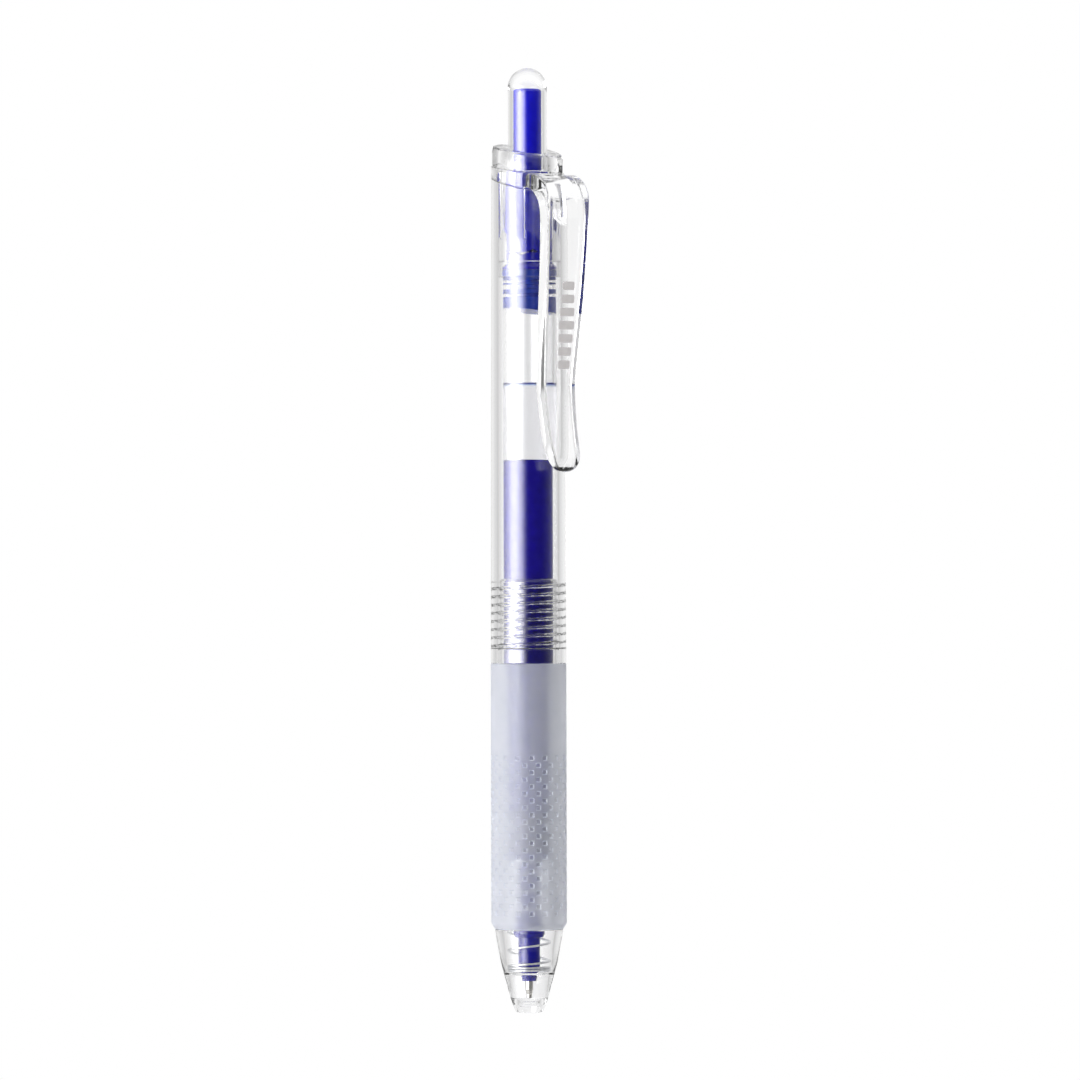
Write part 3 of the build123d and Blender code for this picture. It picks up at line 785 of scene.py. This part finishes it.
# ------------------------------------------------------------------ return spring
def make_spring():
    """Round wire coiled right-handed, with closed turns at both ends."""
    wire = 0.185
    mean = 3.2
    low = SPRING_LOW + wire
    high = SPRING_HIGH - wire
    closed_low = 2.6
    closed_high = 1.4
    closed_step = 0.39
    open_turns = 5.6
    open_step = (high - low - (closed_low + closed_high) * closed_step) / open_turns
    turns = closed_low + open_turns + closed_high
    steps = int(turns * 40)
    around = 10
    heights = []
    for i in range(steps + 1):
        turn = turns * i / steps
        z = low + closed_step * min(turn, closed_low)
        z += open_step * min(max(turn - closed_low, 0), open_turns)
        z += closed_step * max(turn - closed_low - open_turns, 0)
        heights.append(z)
    # The pitch changes over a quarter of a turn on each side of where the closed turns begin.
    span = 10
    verts = []
    for i in range(steps + 1):
        near = heights[i - span:i + span + 1] if span <= i <= steps - span else [heights[i]]
        z = sum(near) / len(near)
        a = turns * i / steps * 2 * math.pi
        radial = Vector((math.cos(a), math.sin(a), 0))
        for k in range(around):
            b = 2 * math.pi * k / around
            place = radial * (mean + wire * math.cos(b)) + Vector((0, 0, z + wire * math.sin(b)))
            verts.append(tuple(place))
    obj = piece("return_spring_coil", verts, loft(steps + 1, around), MATERIAL["spring_steel"], 60.0)
    dress(obj, "spring", "spring_steel", "return_spring")
    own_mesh(obj)


# ------------------------------------------------------------------ stage
FLOOR_RADIUS = 0.25
FLOOR_HEIGHT = -0.15


def make_stage():
    """A pale floor, the studio's soft light and the camera."""
    turns = arc_angles(0, 358, 179)
    rim = [(FLOOR_RADIUS * math.cos(a), FLOOR_RADIUS * math.sin(a), FLOOR_HEIGHT) for a in turns]
    mesh = bpy.data.meshes.new("floor")
    mesh.from_pydata(rim, [], [tuple(range(len(rim)))])
    floor = bpy.data.objects.new("floor", mesh)
    bpy.context.collection.objects.link(floor)
    material, tree, shader = new_material("floor_paper", Roughness=0.9)
    paper = tint(tree, surface_noise(tree, 40), (0.78, 0.78, 0.79), (0.82, 0.82, 0.82))
    tree.links.new(paper, shader.inputs["Base Color"])
    floor.data.materials.append(material)

    scene = bpy.context.scene
    scene.view_settings.view_transform = "Standard"
    # A ray crosses many clear walls on its way through the pen.
    scene.cycles.max_bounces = 40
    scene.cycles.transmission_bounces = 40
    scene.cycles.transparent_max_bounces = 16
    scene.cycles.glossy_bounces = 8
    scene.cycles.caustics_refractive = True
    scene.cycles.use_denoising = True
    make_world(scene)
    make_camera(scene)


# The camera stands VIEW_TURN round from the clip's side, and the picture is VIEW_WIDTH wide at the pen.
VIEW_TURN = -36.0
VIEW_DISTANCE = 1.04
VIEW_WIDTH = 0.1659
SENSOR_WIDTH = 36.0
PEN_MIDDLE = 0.0725
AXIS_OFFSET = 0.0018
AXIS_LEAN = 0.13


def view_axes():
    """Unit vectors from the pen towards the camera and to the picture's right."""
    a = math.radians(VIEW_TURN)
    return Vector((math.sin(a), -math.cos(a), 0)), Vector((math.cos(a), math.sin(a), 0))


def make_camera(scene):
    """A long lens level with the pen's middle, leaning as much as the pen does in the picture."""
    toward, right = view_axes()
    data = bpy.data.cameras.new("camera")
    data.sensor_width = SENSOR_WIDTH
    data.lens = SENSOR_WIDTH * VIEW_DISTANCE / VIEW_WIDTH
    data.clip_start = 0.05
    camera = bpy.data.objects.new("camera", data)
    bpy.context.collection.objects.link(camera)
    centre = Vector((0, 0, PEN_MIDDLE)) + right * AXIS_OFFSET
    camera.location = centre + toward * VIEW_DISTANCE
    facing = (-toward).to_track_quat("-Z", "Y")
    camera.rotation_euler = facing.to_euler()
    camera.rotation_euler.rotate_axis("Z", math.radians(-AXIS_LEAN))
    scene.camera = camera


# Brightness all round the studio: degrees from the camera's direction towards the picture's right, then
# radiance. What is over 1 is the lamp, a tall soft light at the left.
STUDIO = [
    (-180, 0.98), (-165, 0.88), (-154, 0.75), (-140, 0.68), (-130, 0.6), (-99, 0.75), (-90, 1.6), (-82, 3.2),
    (-73, 4.9), (-62, 8.0), (-52, 9.8), (-42, 7.4), (-32, 5.8), (-23, 4.0), (-14, 1.3), (-5, 0.25), (3, 0.05),
    (60, 0.05), (80, 0.2), (105, 0.42), (128, 0.58), (140, 0.74), (160, 0.87), (180, 0.98),
]
STUDIO_PEAK = 10.0
# The rise (sine of the elevation) over which each part of the studio fades in, and some parts' radiance.
LAMP_FOOT = (-0.2, -0.1)
LAMP_HEAD = (0.25, 0.12)
UPPER_WALLS = (0.08, 0.25)
UPPER_WALLS_LEVEL = 0.8
LOWER_WALLS_HEAD = (-0.08, -0.16)
LOWER_WALLS_FOOT = (-0.36, -0.3)
LOWER_WALLS_LEVEL = 0.5
OVERHEAD = (0.42, 0.6)
OVERHEAD_LEVEL = 1.05
UNDERFOOT = (-0.6, -0.9)
UNDERFOOT_LEVEL = 0.75


def make_world(scene):
    """A studio that is white behind the pen, dark in front of it and at the right, and lit from the left."""
    toward, right = view_axes()
    world = bpy.data.worlds.new("studio")
    scene.world = world
    world.use_nodes = True
    tree = world.node_tree
    place = tree.nodes.new("ShaderNodeTexCoord").outputs["Generated"]

    def along(direction):
        """How far a ray points in a direction, from -1 to 1."""
        node = tree.nodes.new("ShaderNodeVectorMath")
        node.operation = "DOT_PRODUCT"
        node.inputs[1].default_value = direction
        tree.links.new(place, node.inputs[0])
        return node.outputs["Value"]

    def maths(operation, *values):
        """One step of arithmetic on numbers and outputs of other nodes."""
        node = tree.nodes.new("ShaderNodeMath")
        node.operation = operation
        for socket, value in zip(node.inputs, values):
            if isinstance(value, float):
                socket.default_value = value
            else:
                tree.links.new(value, socket)
        return node.outputs["Value"]

    turn = maths("ARCTAN2", along(right), along(toward))
    share = maths("MULTIPLY_ADD", turn, 0.5 / math.pi, 0.5)
    ramp = tree.nodes.new("ShaderNodeValToRGB")
    elements = ramp.color_ramp.elements
    while len(elements) < len(STUDIO):
        elements.new(0.5)
    for element, (degrees, radiance) in zip(elements, STUDIO):
        element.position = degrees / 360 + 0.5
        element.color = (*[radiance / STUDIO_PEAK] * 3, 1)
    tree.links.new(share, ramp.inputs["Fac"])
    around = maths("MULTIPLY", ramp.outputs["Color"], STUDIO_PEAK)
    rise = along((0, 0, 1))

    def band(first, last):
        """A smooth step from 0 to 1 between two values of the rise."""
        node = tree.nodes.new("ShaderNodeMapRange")
        node.interpolation_type = "SMOOTHSTEP"
        node.inputs["From Min"].default_value = first
        node.inputs["From Max"].default_value = last
        tree.links.new(rise, node.inputs["Value"])
        return node.outputs["Result"]

    walls = maths("MINIMUM", around, 1.0)
    lamp_height = maths("MULTIPLY", band(*LAMP_FOOT), band(*LAMP_HEAD))
    lamp = maths("MULTIPLY", maths("SUBTRACT", around, walls), lamp_height)
    upper = maths("MULTIPLY", band(*UPPER_WALLS), UPPER_WALLS_LEVEL)
    lower_height = maths("MULTIPLY", band(*LOWER_WALLS_HEAD), band(*LOWER_WALLS_FOOT))
    lower = maths("MULTIPLY", lower_height, LOWER_WALLS_LEVEL)
    raised = maths("MAXIMUM", maths("MAXIMUM", walls, upper), lower)
    low = maths("MULTIPLY_ADD", maths("SUBTRACT", UNDERFOOT_LEVEL, raised), band(*UNDERFOOT), raised)
    room = maths("MULTIPLY_ADD", maths("SUBTRACT", OVERHEAD_LEVEL, low), band(*OVERHEAD), low)
    mix = maths("ADD", room, lamp)
    # The camera itself sees a white backdrop.
    seen = tree.nodes.new("ShaderNodeLightPath").outputs["Is Camera Ray"]
    tree.links.new(maths("MAXIMUM", mix, seen), tree.nodes["Background"].inputs["Strength"])
    tree.nodes["Background"].inputs["Color"].default_value = (1, 1, 1, 1)


def dress_cad_nodes():
    """Finishes for the CAD pieces that stay as they are."""
    finishes = {
        "plunger": "blue_plastic",
        "cam_rotor": "blue_plastic",
        "metal_tip": "tip_metal",
        "writing_ball": "ball_metal",
    }
    for node, finish in finishes.items():
        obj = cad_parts[node]
        for place in obj.material_slots:
            place.material = MATERIAL[finish]


make_front_barrel()
make_rear_barrel()
make_top_cap()
make_button()
make_grip()
make_clip_mark(make_clip())
make_refill()
make_tail_plug()
make_tip_holder()
make_spring()
dress_cad_nodes()
make_stage()
